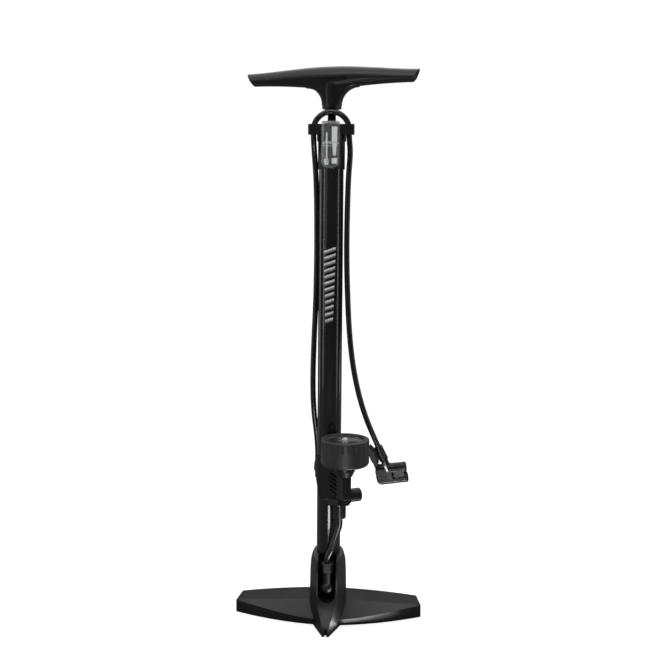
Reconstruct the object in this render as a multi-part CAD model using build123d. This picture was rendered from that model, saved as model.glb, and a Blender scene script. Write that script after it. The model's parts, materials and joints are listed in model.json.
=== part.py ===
from build123d import *
import math
import os

# Floor bike pump. Millimetres. The origin is on the floor, on the axis of the barrel;
# +Z is up, -Y is the way the nose of the base points, and +X is the pump's right hand side
# seen from the front. Each function makes one piece, which is written as one STEP file.

# ---------------------------------------------------------------- driving dimensions
BARREL_R = 14.0            # steel tube, 28 mm outside
BARREL_WALL = 1.2
BARREL_BOTTOM = 54.0
BARREL_TOP = 562.0
BARREL_BORE_R = BARREL_R - BARREL_WALL

SNUG = 0.05                # gap between pieces that are assembled and stay put
RUN = 0.06                 # radial running clearance of a shaft in a hole

WING_HALF = 111.0          # half width of the base
BASE_WALL = 2.8
BOSS_TOP = 84.0            # highest point of the base's boss
SLOT_HALF = 10.35          # half width of the recess for the hose nut
SLOT_ROUND_Z = 41.5        # height of the centre of the recess's round bottom
RECESS_BACK = -9.3

HOSE_R = 3.2
PORT_X, PORT_OUT, PORT_TOP = -13.4, -15.7, 184.0   # where the main hose starts
NUT_Y = -29.7              # where the hose nut of the base stands
NUT_BOTTOM, NUT_TOP = 65.5, 76.6
ELBOW_Z = 46.0
PORT_R = 5.0
SCREW_X, SCREW_Y = 7.5, 6.5    # the two screws that hold the valve block down
SEAL_Z = (57.6, 62.4)
VALVE_CHAMBER_R, VALVE_SEAT_Z, BALL_R = 4.2, 54.0, 3.5

GAUGE_YAW = 26.0           # the gauge bracket points this far to the right of the nose
GAUGE_OUT = 45.2           # barrel axis to gauge axis
GAUGE_R = 27.4
GAUGE_BOTTOM, GAUGE_SEAM, GAUGE_TOP = 196.0, 211.5, 226.0
LENS_R = 21.8
DIAL_Z = 214.0
CLAMP_R = 16.6             # outside of the clamp round the barrel
CLAMP_BOTTOM, CLAMP_TOP = 140.0, 196.0
MANIFOLD_Z, MANIFOLD_R = 158.6, 7.7
MANIFOLD_END = 20.0        # free end of the manifold's stub, along the bracket's own X
MANIFOLD_OUT = 43.0        # barrel axis to the manifold's axis
LUG_TURN = -55.0           # the clamp's split and its lugs, turned from straight back
CLAMP_SCREW_Z, CLAMP_SCREW_OUT = 182.0, 21.0
BRACKET_NUT_OUT = 33.0     # barrel axis to the axis of the nut below the bracket
BRACKET_NUT_BOTTOM, BRACKET_NUT_TOP = 130.0, 146.0
WEB_HALF = 4.4             # half thickness of the bracket's web
STEM_HALF = 5.0
LIP_TOP = 147.5            # top of the rim round the bracket's lower edge, at the back
LIP_RISE = 13.0            # and the angle at which the rim rises towards the front
LOUVRES, LOUVRE_Z, LOUVRE_PITCH = 5, 159.5, 4.9
GRIP_COUNT = 24            # finger grooves round the gauge
BOURDON_R, BOURDON_Z = 16.0, 202.0
POINTER_ZERO = -45.0       # turn of the pointer at zero: the scale's gap faces the barrel

CAP_BOTTOM, CAP_SHOULDER, CAP_TOP = 528.0, 560.0, 577.0
CAP_SKIRT_R, CAP_R = 15.3, 16.6
ARCH_HALF = 20.0           # half the distance between the hose's two uprights
ARCH_Y = -9.0              # plane of the hose's arch over the cap
ARCH_TOP = 590.8           # centreline of the hose at the top of its arch
EAR_BOTTOM, EAR_OUT, EAR_HALF = 566.0, 26.0, 5.6
RAIL_FRONT = -19.0         # front of the rail that carries the accessory case
BUSH_R = 7.4

ROD_R = 4.7
HANDLE_YAW = -10.0         # the handle swivels, and stands turned this far
HANDLE_HALF = 98.5
NECK_R = 11.0
NECK_BOTTOM = 595.2
FLARE_R = 20.0
GRIP_LIP = 1.6             # the grip's underside is set in from its top by this
END_SLANT, END_POCKET = 28.0, 3.0
PIN_Z = 606.0
PISTON_BOTTOM = 68.5

CASE_HALF = 9.75           # clear accessory case
CASE_BACK, CASE_FRONT = -19.4, -29.4
CASE_BOTTOM, CASE_SEAM, CASE_TOP = 527.5, 555.0, 578.5
CASE_WALL = 1.2
CONE_X, NEEDLE_X = 4.3, -4.2
STORE_Y = (CASE_BACK + CASE_FRONT) / 2

HEAD_YAW = 3.0             # the head hangs square to this direction
HEAD_OUT = 8.0             # how far in front of the barrel axis the head hangs
HEAD_TILT = 10.5           # the nozzles point up by this much
HEAD_TWIST = 13.0          # and the head is turned towards the front about its hose
HEAD_X, HEAD_Z = 62.9, 162.4   # the lower left corner of the head's outline
HEAD_TALL = 24.7
NOZZLE_R = HEAD_TALL / 4
NOZZLE_Z = (NOZZLE_R, HEAD_TALL - NOZZLE_R)
NOZZLE_START, CAP_START, NOZZLE_END, CAP_RIBS = 13.0, 16.0, 31.0, 4
STUB_R, PLUNGER_R, PLUNGER_END = 5.0, 3.85, 18.9
GROMMET_R, GROMMET_START, GROMMET_END = 4.9, 20.3, 23.8
SCHRADER_R, PRESTA_R = 4.2, 3.2
COLLAR_LENGTH = 18.5
COLLAR_R, COLLAR_TIP_R, COLLAR_RIBS = 5.5, 4.9, 10
LEVER_PIVOT = (-0.5, 9.5)  # along and up, in the head's own frame
LEVER_EYE_R, PIN_R = 3.6, 1.25

OUT = "parts"


# ---------------------------------------------------------------- helpers
def cyl(r, z0, z1, x=0.0, y=0.0):
    """An upright cylinder between two heights."""
    return Pos(x, y, (z0 + z1) / 2) * Cylinder(r, z1 - z0)


def ring(outer, inner, z0, z1, x=0.0, y=0.0):
    return cyl(outer, z0, z1, x, y) - cyl(inner, z0 - 1, z1 + 1, x, y)


def cone(r0, r1, z0, z1, x=0.0, y=0.0):
    return Pos(x, y, (z0 + z1) / 2) * Cone(r0, r1, z1 - z0)


def block(x0, x1, y0, y1, z0, z1):
    """A box between two corners."""
    centre = Pos((x0 + x1) / 2, (y0 + y1) / 2, (z0 + z1) / 2)
    return centre * Box(x1 - x0, y1 - y0, z1 - z0)


def rod_x(r, x0, x1, y=0.0, z=0.0):
    """A cylinder along X."""
    return Pos((x0 + x1) / 2, y, z) * Rot(0, 90, 0) * Cylinder(r, x1 - x0)


def rod_y(r, y0, y1, x=0.0, z=0.0):
    """A cylinder along Y."""
    return Pos(x, (y0 + y1) / 2, z) * Rot(90, 0, 0) * Cylinder(r, y1 - y0)


def hexagon(flats, z0, z1, x=0.0, y=0.0, turn=0.0):
    """A hexagonal prism, by its size across flats."""
    outline = Rot(0, 0, turn) * RegularPolygon(flats / 2, 6, major_radius=False)
    return Pos(x, y, z0) * extrude(outline, z1 - z0)


def face_of(points):
    return make_face(Polyline(*points, close=True))


def tube_along(route, radii, r):
    """A round tube along straight runs joined by tangent arcs."""
    path = FilletPolyline(*route, radius=radii)
    start = Plane(origin=path @ 0, z_dir=path % 0)
    return sweep(start * Circle(r), path=path), path.length


def arc_radii(route, share=0.45):
    """The radius of the arc at each inner point, from its shorter run and its turn."""
    points = [Vector(*p) for p in route]
    radii = []
    for before, here, after in zip(points, points[1:], points[2:]):
        turn = math.radians((here - before).get_angle(after - here))
        shorter = min((here - before).length, (after - here).length)
        radii.append(share * shorter / math.tan(turn / 2))
    return radii


def in_bracket(shape):
    """From the bracket's own frame, which points along -Y, to the pump's."""
    return Rot(0, 0, GAUGE_YAW) * shape


def in_handle(shape):
    return Rot(0, 0, HANDLE_YAW) * shape


def collar_place():
    """The foot of the hose's collar, with +Z up along the hose."""
    x, out, z = COLLAR_TOP
    lean = math.degrees(math.atan2(x - HOSE_DOWN[-1][0], HOSE_DOWN[-1][2] - z))
    return Rot(0, 0, HEAD_YAW) * Pos(x, -out, z) * Rot(0, -lean, 0) * Pos(0, 0, -COLLAR_LENGTH)


def head_place():
    """The head's own frame: X along the nozzles, Z up its face."""
    collar = collar_place()
    twist = collar * Rot(0, 0, -HEAD_TWIST) * collar.inverse()
    return twist * Rot(0, 0, HEAD_YAW) * Pos(HEAD_X, -HEAD_OUT, HEAD_Z) * Rot(0, -HEAD_TILT, 0)


def in_head(shape):
    return head_place() * shape


def front_view(x, out, z):
    """A point given square to the head's direction: right, towards the front, and up."""
    a = math.radians(HEAD_YAW)
    return (x * math.cos(a) + out * math.sin(a), x * math.sin(a) - out * math.cos(a), z)


# ---------------------------------------------------------------- base
def body_outline(z, round_r, side_x, side_y, tip_half, tip_y):
    """A level slice of the boat-shaped body: a round back, drawn in to a narrow nose."""
    back = ThreePointArc((round_r, 0, z), (0, round_r, z), (-round_r, 0, z))
    left = Spline((-round_r, 0, z), (-side_x, -side_y, z), (-tip_half, -tip_y, z),
                  tangents=[(0, -1, 0), (side_x - tip_half, side_y - tip_y, 0)])
    tip = Line((-tip_half, -tip_y, z), (tip_half, -tip_y, z))
    right = Spline((tip_half, -tip_y, z), (side_x, -side_y, z), (round_r, 0, z),
                   tangents=[(side_x - tip_half, tip_y - side_y, 0), (0, 1, 0)])
    return make_face([back, left, tip, right])


# height, back radius, side point (x, y), half width of the nose, reach of the nose
BODY_SLICES = (
    (0.0, 22.0, 16.4, 28.0, 3.6, 60.0),
    (7.0, 22.0, 16.2, 27.0, 3.5, 58.6),
    (30.0, 21.9, 17.0, 22.0, 10.8, 41.0),
    (52.0, 21.4, 17.4, 19.0, 12.6, 35.5),
    (70.0, 20.4, 17.0, 18.0, 12.4, 31.5),
    (BOSS_TOP, 15.6, 14.2, 15.0, 10.6, 26.5),
)

# Along the wing: x, back edge y, back height, crest y, crest height, front y, front height
WING_SLICES = (
    (0.0, 34.5, 19.0, -5.0, 20.5, -30.5, 6.6),
    (20.0, 34.2, 18.8, -4.8, 20.2, -28.6, 7.0),
    (50.0, 32.8, 17.8, -4.0, 19.0, -22.8, 9.4),
    (80.0, 30.6, 16.2, -2.8, 17.2, -13.6, 12.4),
    (WING_HALF, 27.4, 13.8, -0.9, 14.7, -0.4, 14.3),
)


def wing_section(x, back_y, back_z, crest_y, crest_z, front_y, front_z, inset=0.0):
    """The wing's slice at x, or the slice of the hollow under it when inset is over 0."""
    floor = 0.0 if inset == 0 else -1.0
    wall_y = front_y + inset * 1.25
    return face_of([
        (x, back_y - inset, floor),
        (x, back_y - inset, back_z - inset),
        (x, max(crest_y, wall_y + inset * 0.3), crest_z - inset),
        (x, wall_y, front_z - inset * 0.9),
        (x, wall_y, floor),
    ])


def wing():
    return loft([wing_section(*row) for row in WING_SLICES])


def wing_hollow():
    """The hollow under one wing, split into bays by cross ribs."""
    hollow = loft([wing_section(*row, inset=BASE_WALL) for row in WING_SLICES[1:]])
    hollow -= block(WING_HALF - 7.0, WING_HALF + 5, -40, 40, -2, 30)
    hollow -= block(0, 23.5, -60, 60, -2, 30)
    for x in (43.0, 65.0, 87.0):
        hollow -= block(x - 1.1, x + 1.1, -40, 40, -2, 30)
    return hollow


def nut_recess():
    """The recess for the nut: open at the front and the top, with a round bottom."""
    h, y, z, top = SLOT_HALF, -70.0, SLOT_ROUND_Z, 120.0
    outline = make_face([
        Line((-h, y, top), (-h, y, z)), ThreePointArc((-h, y, z), (0, y, z - h), (h, y, z)),
        Line((h, y, z), (h, y, top)), Line((h, y, top), (-h, y, top)),
    ])
    return extrude(outline, RECESS_BACK - y, dir=(0, 1, 0))


def base():
    solid = loft([body_outline(*row) for row in BODY_SLICES])
    # the recess, the barrel's socket, and the rim, which falls towards the front
    solid -= nut_recess()
    solid -= cyl(BARREL_R + SNUG, 38.0, 120.0)
    solid -= Pos(0, 22, BOSS_TOP) * Rot(8.0, 0, 0) * block(-40, 40, -110, 20, 0, 40)
    solid -= under_nose()
    right = wing()
    solid += right
    solid += mirror(right, about=Plane.YZ)
    # the wings' ends are cut on a slant, further out at the front
    for side in (-1, 1):
        cut = block(0, 20, -60, 60, -5, 40)
        if side < 0:
            cut = mirror(cut, about=Plane.YZ)
        solid -= Pos(side * WING_HALF, -0.4, 0) * Rot(0, 0, side * 8.0) * cut
    # hollow underside of the wings
    hollow = wing_hollow()
    solid -= hollow
    solid -= mirror(hollow, about=Plane.YZ)
    # a slot low in the tip of the nose, open at the front
    solid -= block(-1.2, 1.2, -70.0, -55.5, -1, 8.0)
    for x in (-1, 1):
        solid -= cyl(2.3, -1, 50, x * SCREW_X, SCREW_Y)
        solid -= cyl(4.6, -1, 26, x * SCREW_X, SCREW_Y)
    return solid


def under_nose():
    """The hollow under the nose and the one round the hub, leaving the hub solid."""
    slices = [
        body_outline(-1.0, 19.2, 13.6, 25.0, 2.0, 48.0),
        body_outline(9.0, 19.2, 13.2, 24.0, 2.0, 45.0),
        body_outline(28.0, 19.0, 13.0, 15.0, 5.0, 22.0),
    ]
    hollow = loft(slices)
    hollow -= cyl(13.0, -2, 40)
    hollow -= block(-1.2, 1.2, -70, 40, -2, 40)
    return hollow


def foot_valve_block():
    """Closes the barrel's bottom, holds the check valve and leads the air to the nut."""
    solid = cyl(BARREL_R - 0.1, 38.2, BARREL_BOTTOM - SNUG)
    solid += cyl(BARREL_BORE_R - 0.1, BARREL_BOTTOM - 1, 66.0)
    solid += rod_y(7.0, NUT_Y, 0, z=ELBOW_Z)
    solid += Pos(0, NUT_Y, ELBOW_Z) * Sphere(7.6)
    solid += cyl(PORT_R, ELBOW_Z, 71.0, y=NUT_Y)
    # grooves for the two seals, the valve chamber and the air passages
    for z in SEAL_Z:
        solid -= ring(BARREL_R, BARREL_BORE_R - 1.8, z - 1.2, z + 1.2)
    solid -= cyl(VALVE_CHAMBER_R, 41.0, VALVE_SEAT_Z)
    solid -= cyl(1.6, VALVE_SEAT_Z - 1, 67.0)
    solid -= rod_y(1.6, NUT_Y, -3.0, z=ELBOW_Z)
    solid -= cyl(1.6, ELBOW_Z, 72.0, y=NUT_Y)
    for x in (-1, 1):
        solid -= cyl(1.7, 38, 50.0, x * SCREW_X, SCREW_Y)
    return solid


def foot_valve_seals():
    return [Pos(0, 0, z) * Torus(BARREL_BORE_R - 0.95, 0.8) for z in SEAL_Z]


def check_valve_ball():
    return Pos(0, 0, VALVE_SEAT_Z - BALL_R - 0.02) * Sphere(BALL_R)


def check_valve_spring():
    """Holds the ball up on its seat."""
    top = VALVE_SEAT_Z - 2 * BALL_R - 0.05
    bottom = 41.3
    wire = 0.35
    helix = Helix(pitch=(top - bottom - 2 * wire) / 4, height=top - bottom - 2 * wire,
                  radius=2.6, center=(0, 0, bottom + wire))
    section = Plane(origin=helix @ 0, z_dir=helix % 0) * Circle(wire)
    return sweep(section, path=helix, is_frenet=True)


def base_screws():
    screws = []
    for x in (-1, 1):
        shank = cyl(1.65, 24.2, 49.0, x * SCREW_X, SCREW_Y)
        head = cyl(4.2, 22.5, 25.95, x * SCREW_X, SCREW_Y)
        cross = block(-2.4, 2.4, -0.5, 0.5, 22, 24) + block(-0.5, 0.5, -2.4, 2.4, 22, 24)
        screws.append(shank + head - Pos(x * SCREW_X, SCREW_Y, 0) * cross)
    return screws


def base_hose_nut():
    """A hexagonal nut with turned ends, bored for the threaded port and for the hose."""
    nut = hexagon(13.4, NUT_BOTTOM, NUT_TOP, y=NUT_Y)
    nut &= cone(12.0, 6.2, NUT_TOP - 5.8, NUT_TOP, y=NUT_Y) \
        + cyl(12.0, NUT_BOTTOM - 1, NUT_TOP - 5.8, y=NUT_Y)
    nut &= cyl(7.6, NUT_BOTTOM - 1, NUT_TOP + 1, y=NUT_Y)
    nut -= cyl(PORT_R + SNUG, NUT_BOTTOM - 1, NUT_TOP - 5.4, y=NUT_Y)
    return nut - cyl(2.4, NUT_BOTTOM - 1, NUT_TOP + 1, y=NUT_Y)


def barrel_tube():
    return ring(BARREL_R, BARREL_BORE_R, BARREL_BOTTOM, BARREL_TOP)


# ---------------------------------------------------------------- hoses
def bracket_nut_place():
    a = math.radians(GAUGE_YAW)
    return BRACKET_NUT_OUT * math.sin(a), -BRACKET_NUT_OUT * math.cos(a)


def base_hose():
    """The short hose between the nut under the bracket and the nut of the base."""
    x, y = bracket_nut_place()
    route = [(x, y, BRACKET_NUT_BOTTOM), (x, y, 121.0), (x - 5.4, y - 0.6, 105.0),
             (3.4, NUT_Y - 0.6, 89.0), (0, NUT_Y, 82.0), (0, NUT_Y, NUT_TOP)]
    solid, length = tube_along(route, arc_radii(route), HOSE_R)
    return solid, route, length


# The main hose, from its port behind the bracket up the left side of the barrel, through
# the cap's left ear, over the cap, down through the right ear and out to the head.
# Right, front and up, square to the head's direction. The two ears and the arch between
# them come from the cap.
HOSE_UP = [
    (PORT_X, PORT_OUT, PORT_TOP),
    (PORT_X, PORT_OUT, 198.0),
    (-15.0, -12.6, 219.0),
    (-18.5, -8.8, 246.0),
    (-19.9, -6.8, 281.0),
    (-18.9, -7.2, 327.0),
    (-16.7, -8.9, 378.0),
    (-15.9, -9.9, 436.0),
    (-16.4, -9.4, 490.0),
    (-17.6, -7.0, 524.0),
    (-19.5, 0.4, 547.0),
]
HOSE_DOWN = [
    (21.4, 6.6, 546.0),
    (19.4, 5.0, 522.0),
    (18.4, 4.2, 482.0),
    (18.1, 4.0, 432.0),
    (19.6, 4.4, 386.0),
    (22.1, 5.4, 341.0),
    (26.6, 6.8, 303.0),
    (33.6, 7.8, 270.0),
    (42.1, 8.0, 243.0),
    (50.6, 8.0, 222.9),
]
COLLAR_TOP = (56.8, 8.0, 209.2)


def arch_points():
    """The hose's arch over the cap: the half octagon about its half circle."""
    side = ARCH_HALF * math.tan(math.radians(22.5))
    middle = ARCH_TOP - ARCH_HALF
    left = [(-ARCH_HALF, ARCH_Y, middle - side), (-ARCH_HALF, ARCH_Y, middle + side),
            (-side, ARCH_Y, ARCH_TOP)]
    return left + [(-x, y, z) for x, y, z in reversed(left)]


def main_hose_route():
    route = [front_view(*p) for p in HOSE_UP]
    route += arch_points()
    route += [front_view(*p) for p in HOSE_DOWN]
    return route + [front_view(*COLLAR_TOP)]


def main_hose(r=HOSE_R):
    route = main_hose_route()
    solid, length = tube_along(route, arc_radii(route), r)
    return solid, route, length


# ---------------------------------------------------------------- gauge and its bracket
def gauge_bracket():
    """Clamp round the barrel, web, manifold, stem and the seat under the gauge."""
    solid = ring(CLAMP_R, BARREL_R + SNUG, CLAMP_BOTTOM, CLAMP_TOP)
    # sides that close in on the web, and the rim round their lower edge
    solid += upright([(16.2, -3.5), (5.2, -29.0)], CLAMP_BOTTOM, CLAMP_TOP - 2.0)
    rim = upright([(16.3, -3.5), (10.2, -24.0), (8.9, -44.5)], CLAMP_BOTTOM - 0.6, LIP_TOP)
    rim = fillet(rim.edges().filter_by(Axis.Z).group_by(Axis.Y)[0], 3.5)
    rim = chamfer(rim.edges().group_by(Axis.Z)[0] + rim.edges().group_by(Axis.Z)[-1], 1.2)
    # the rim rises towards the front, and nothing of the sides or the web stays below it
    rise = Pos(0, -10.4, CLAMP_BOTTOM - 0.6) * Rot(-LIP_RISE, 0, 0)
    solid += rise * Pos(0, 10.4, 0.6 - CLAMP_BOTTOM) * rim
    # behind a steep line, and below the clamp's band, the barrel is bare
    back = Pos(0, -10.4, CLAMP_BOTTOM - 1) * Rot(71.0, 0, 0) * block(-30, 30, 0, 80, -80, 0)
    solid -= back & (Pos(0, 0.3, 170.0) * Rot(12.0, 0, 0) * block(-40, 40, -80, 60, -80, 0))
    solid += block(-WEB_HALF, WEB_HALF, -46.0, -28.0, CLAMP_BOTTOM + 4, 184.0)
    solid -= rise * block(-40, 40, -80, 5, -40, 0)
    solid += rod_x(MANIFOLD_R, 1 - WEB_HALF, MANIFOLD_END - 1.6, y=-MANIFOLD_OUT, z=MANIFOLD_Z)
    solid += block(-STEM_HALF, STEM_HALF + 0.9, -50.0, -39.0, 152.0, 185.0)
    solid += cone(8.6, 11.6, 183.0, 189.5, y=-GAUGE_OUT)
    solid += cyl(11.6, 189.5, GAUGE_BOTTOM - SNUG, y=-GAUGE_OUT)
    solid -= cyl(7.5, 120.0, 146.4, y=-BRACKET_NUT_OUT)
    solid += cyl(PORT_R, 134.5, 152.0, y=-BRACKET_NUT_OUT)
    # split and lugs of the clamp
    lugs = block(-6.0, 6.0, 14.8, 25.4, 175.5, 188.5)
    lugs -= rod_x(1.5, -10, 10, CLAMP_SCREW_OUT, CLAMP_SCREW_Z)
    solid += lug_place(lugs)
    solid -= lug_place(block(-1.2, 1.2, 10.0, 30.0, 120.0, 220.0))
    solid -= cyl(BARREL_R + SNUG, 100, 220)
    # sloping louvres down both sides, and a row of notches down the left of the stem
    for i in range(LOUVRES):
        z = LOUVRE_Z + LOUVRE_PITCH * i
        for side in (-1, 1):
            x0, x1 = sorted((side * 2.9, side * 14.0))
            solid -= Pos(0, -27.0, z) * Rot(20, 0, 0) * block(x0, x1, -6.2, 6.2, -1.05, 1.05)
        solid -= rod_y(1.2, -48.2, -38.0, -STEM_HALF - 0.2, z - 2.6)
    # air passages: up from the port, along to the manifold and up the stem
    solid -= cyl(1.6, 130.0, MANIFOLD_Z, y=-BRACKET_NUT_OUT)
    solid -= rod_y(1.6, -GAUGE_OUT, -BRACKET_NUT_OUT, z=MANIFOLD_Z)
    solid -= cyl(1.6, MANIFOLD_Z, 190.0, y=-GAUGE_OUT)
    solid -= cyl(4.05, 183.9, 200.0, y=-GAUGE_OUT)
    return in_bracket(solid)


def upright(half, z0, z1):
    """An upright prism, symmetrical about the bracket's web, from half of its outline."""
    points = [(x, y, z0) for x, y in half] + [(-x, y, z0) for x, y in reversed(half)]
    return extrude(face_of(points), z1 - z0)


def lug_place(shape):
    """From a frame whose +Y runs out along the clamp's split to the bracket's own."""
    return Rot(0, 0, LUG_TURN) * shape


def clamp_screw():
    """Pulls the clamp's two lugs together."""
    y, z = CLAMP_SCREW_OUT, CLAMP_SCREW_Z
    screw = rod_x(1.45, -6.3, 9.2, y, z) + rod_x(2.8, -8.6, -6.05, y, z)
    socket = rod_x(1.3, -9.0, -7.2, y, z)
    return in_bracket(lug_place(screw - socket))


def clamp_nut():
    y, z = CLAMP_SCREW_OUT, CLAMP_SCREW_Z
    nut = Rot(0, 90, 0) * hexagon(5.5, 6.05, 8.4)
    return in_bracket(lug_place(Pos(0, y, z) * nut - rod_x(1.5, 0, 12, y, z)))


def hose_port():
    """Elbow behind the bracket: a bored boss with a collar, which the main hose leaves."""
    x, y, top = front_view(PORT_X, PORT_OUT, PORT_TOP)
    foot = 175.0
    solid = cyl(4.6, foot, top - 6.0, x, y) + Pos(x, y, foot) * Sphere(4.6)
    solid += cone(4.6, 4.0, top - 6.0, top, x, y)
    solid -= cyl(2.0, foot + 1, top + 1, x, y)
    return solid - cyl(CLAMP_R + SNUG, 100, 220)


def bracket_hose_nut():
    x, y = bracket_nut_place()
    nut = hexagon(13.2, BRACKET_NUT_BOTTOM, BRACKET_NUT_TOP, x, y, GAUGE_YAW)
    nut &= cyl(7.1, BRACKET_NUT_BOTTOM, BRACKET_NUT_TOP, x, y)
    nut &= cone(6.0, 12.0, BRACKET_NUT_BOTTOM, BRACKET_NUT_BOTTOM + 6.0, x, y) \
        + cyl(12.0, BRACKET_NUT_BOTTOM + 6.0, 200, x, y)
    nut -= cyl(PORT_R + SNUG, 134.4, 160.0, x, y)
    return nut - cyl(2.4, 100, 160, x, y)


def stub_plug():
    """Closes the manifold's free end; the head's nozzle parks on it."""
    plug = rod_x(MANIFOLD_R, MANIFOLD_END - 1.55, MANIFOLD_END, y=-MANIFOLD_OUT,
                 z=MANIFOLD_Z)
    edges = plug.edges().filter_by(GeomType.CIRCLE).group_by(Axis.X)[-1]
    plug = fillet(edges, 1.0)
    return in_bracket(plug)


def gauge_place(shape):
    return in_bracket(Pos(0, -GAUGE_OUT, 0) * shape)


def gauge_cup():
    """Lower half of the gauge's housing."""
    cup = cyl(GAUGE_R, GAUGE_BOTTOM, GAUGE_SEAM)
    cup = fillet(cup.edges().filter_by(GeomType.CIRCLE).group_by(Axis.Z)[0], 4.2)
    cup -= cyl(GAUGE_R - 2.2, GAUGE_BOTTOM + 2.2, GAUGE_SEAM + 1)
    cup -= cyl(4.05, 190, 210)
    return gauge_place(cup)


def gauge_bezel():
    """Upper ring of the housing: finger grooves round the outside, a ledge for the lens."""
    bezel = cyl(GAUGE_R, GAUGE_SEAM + SNUG, GAUGE_TOP)
    bezel = fillet(bezel.edges().filter_by(GeomType.CIRCLE).group_by(Axis.Z)[-1], 1.2)
    bezel -= cyl(GAUGE_R - 2.2, GAUGE_SEAM - 1, 221.0)
    bezel -= cyl(LENS_R - 1.0, 210, 230)
    bezel -= cyl(LENS_R + SNUG, 222.0, 230)
    grooves = [
        Rot(0, 0, 360 / GRIP_COUNT * i) * Pos(GAUGE_R + 0.4, 0, 219.0) * Cylinder(1.3, 9.0)
        for i in range(GRIP_COUNT)
    ]
    return gauge_place(bezel - grooves)


def gauge_lens():
    lens = cyl(LENS_R, 222.1, 223.6)
    dome = Pos(0, 0, 223.6 - 236.0) * Sphere(237.2)
    return gauge_place(lens + (dome & cyl(LENS_R - 1.0, 223.5, 226.0)))


def gauge_dial():
    return gauge_place(ring(GAUGE_R - 2.6, 1.6, DIAL_Z, DIAL_Z + 0.6))


def gauge_socket():
    """Brass socket that screws into the stem and carries the Bourdon tube."""
    solid = cyl(4.0, 184.0, 201.0) + block(-3.6, 4.2, -14.4, 6, 199.0, 205.0)
    solid -= cyl(1.2, 183, 202)
    solid -= rod_y(1.2, -12, 0, z=BOURDON_Z)
    return gauge_place(solid)


def gauge_bourdon_tube():
    """A C-shaped flattened tube from the socket round towards the movement."""
    def at(turn):
        a = math.radians(turn)
        return (BOURDON_R * math.cos(a), 4.0 + BOURDON_R * math.sin(a), BOURDON_Z)

    path = ThreePointArc(at(-72), at(30), at(135))
    start = Plane(origin=path @ 0, x_dir=(0, 0, 1), z_dir=path % 0)
    return gauge_place(sweep(start * Ellipse(2.4, 1.2), path=path))


def gauge_movement():
    """Plate and posts that hold the pointer's arbor over the socket."""
    solid = ring(8.0, 1.0 + RUN, 207.5, 209.0)
    for i in range(3):
        a = math.radians(90 + 120 * i)
        solid += cyl(0.9, 209.0, DIAL_Z - SNUG, 6.2 * math.cos(a), 6.2 * math.sin(a))
    solid += block(-3.0, 3.0, -3.0, 3.0, 205.05, 207.6)
    solid -= cyl(1.0 + RUN, 206.0, 215.0)
    return gauge_place(solid)


def gauge_pointer():
    """Pointer and arbor, standing at zero."""
    arbor = cyl(1.0, 206.2, 217.8) + cyl(2.6, 216.4, 218.4)
    blade = extrude(face_of([(-1.0, -5.5, 216.6), (1.0, -5.5, 216.6),
                             (1.3, 0, 216.6), (0.25, 17.6, 216.6),
                             (-0.25, 17.6, 216.6), (-1.3, 0, 216.6)]), 0.6)
    needle = Rot(0, 0, POINTER_ZERO) * (arbor + blade)
    return gauge_place(needle)


# ---------------------------------------------------------------- barrel cap
def barrel_cap():
    solid = cyl(CAP_SKIRT_R, CAP_BOTTOM, CAP_SHOULDER)
    solid += cone(CAP_SKIRT_R, CAP_R, CAP_SHOULDER - 2, CAP_SHOULDER)
    upper = cyl(CAP_R, CAP_SHOULDER, CAP_TOP)
    solid += fillet(upper.edges().filter_by(GeomType.CIRCLE).group_by(Axis.Z)[-1], 1.5)
    for side in (-1, 1):
        x0, x1 = sorted((side * 8.0, side * EAR_OUT))
        ear = block(x0, x1, ARCH_Y - EAR_HALF, ARCH_Y + EAR_HALF, EAR_BOTTOM, CAP_TOP)
        outer = ear.edges().filter_by(Axis.Z).sort_by(Axis.X)
        ear = fillet(outer[-2:] if side > 0 else outer[:2], 2.6)
        solid += ear
    # rail for the accessory case
    solid += block(-3.0, 3.0, RAIL_FRONT + 1.6, -13.0, 531.0, 575.0)
    solid += block(-5.0, 5.0, RAIL_FRONT, RAIL_FRONT + 1.6, 531.0, 575.0)
    solid -= cyl(BARREL_R + SNUG, 520, BARREL_TOP + 0.05)
    solid -= cyl(BUSH_R + SNUG, 555, 580)
    channel = main_hose(HOSE_R + 0.15)[0]
    return solid - channel


def rod_bush():
    """Guides the rod through the cap."""
    solid = cyl(BUSH_R, 548.0, CAP_TOP) + cyl(9.2, CAP_TOP + SNUG, 578.8)
    solid += cyl(7.4, CAP_TOP - 1, CAP_TOP + 1)
    solid += cyl(BARREL_BORE_R - 0.2, 548.0, BARREL_TOP - 0.1)
    return solid - cyl(ROD_R + RUN, 540, 590)


# ---------------------------------------------------------------- plunger
def piston_rod():
    solid = cyl(ROD_R, 84.0, 625.0)
    solid += cyl(3.0, 70.0, 84.5)
    solid = chamfer(solid.edges().filter_by(GeomType.CIRCLE).group_by(Axis.Z)[-1], 0.6)
    solid -= rod_x(1.5, -10, 10, z=PIN_Z)
    return in_handle(solid)


def piston_nut():
    solid = hexagon(10.0, PISTON_BOTTOM + 1.0, PISTON_BOTTOM + 4.0)
    return in_handle(solid - cyl(3.0 + SNUG, 60, 80))


def piston_core():
    """Two discs with the groove for the cup seal between them."""
    top = PISTON_BOTTOM + 15.0
    solid = cyl(BARREL_BORE_R - 0.3, PISTON_BOTTOM + 4.1, top)
    solid -= ring(BARREL_BORE_R, 8.6, PISTON_BOTTOM + 6.4, top - 2.4)
    return solid - cyl(3.0 + RUN, 60, 90)


def piston_cup_seal():
    """Rubber cup, open downwards, which seals on the way down and lets air by going up."""
    low, high = PISTON_BOTTOM + 6.5, PISTON_BOTTOM + 12.5
    solid = ring(BARREL_BORE_R - 0.05, 8.65, low, high)
    return solid - (cone(12.2, 10.4, low - 0.1, low + 4.0) - cyl(9.6, 60, 90))


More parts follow.
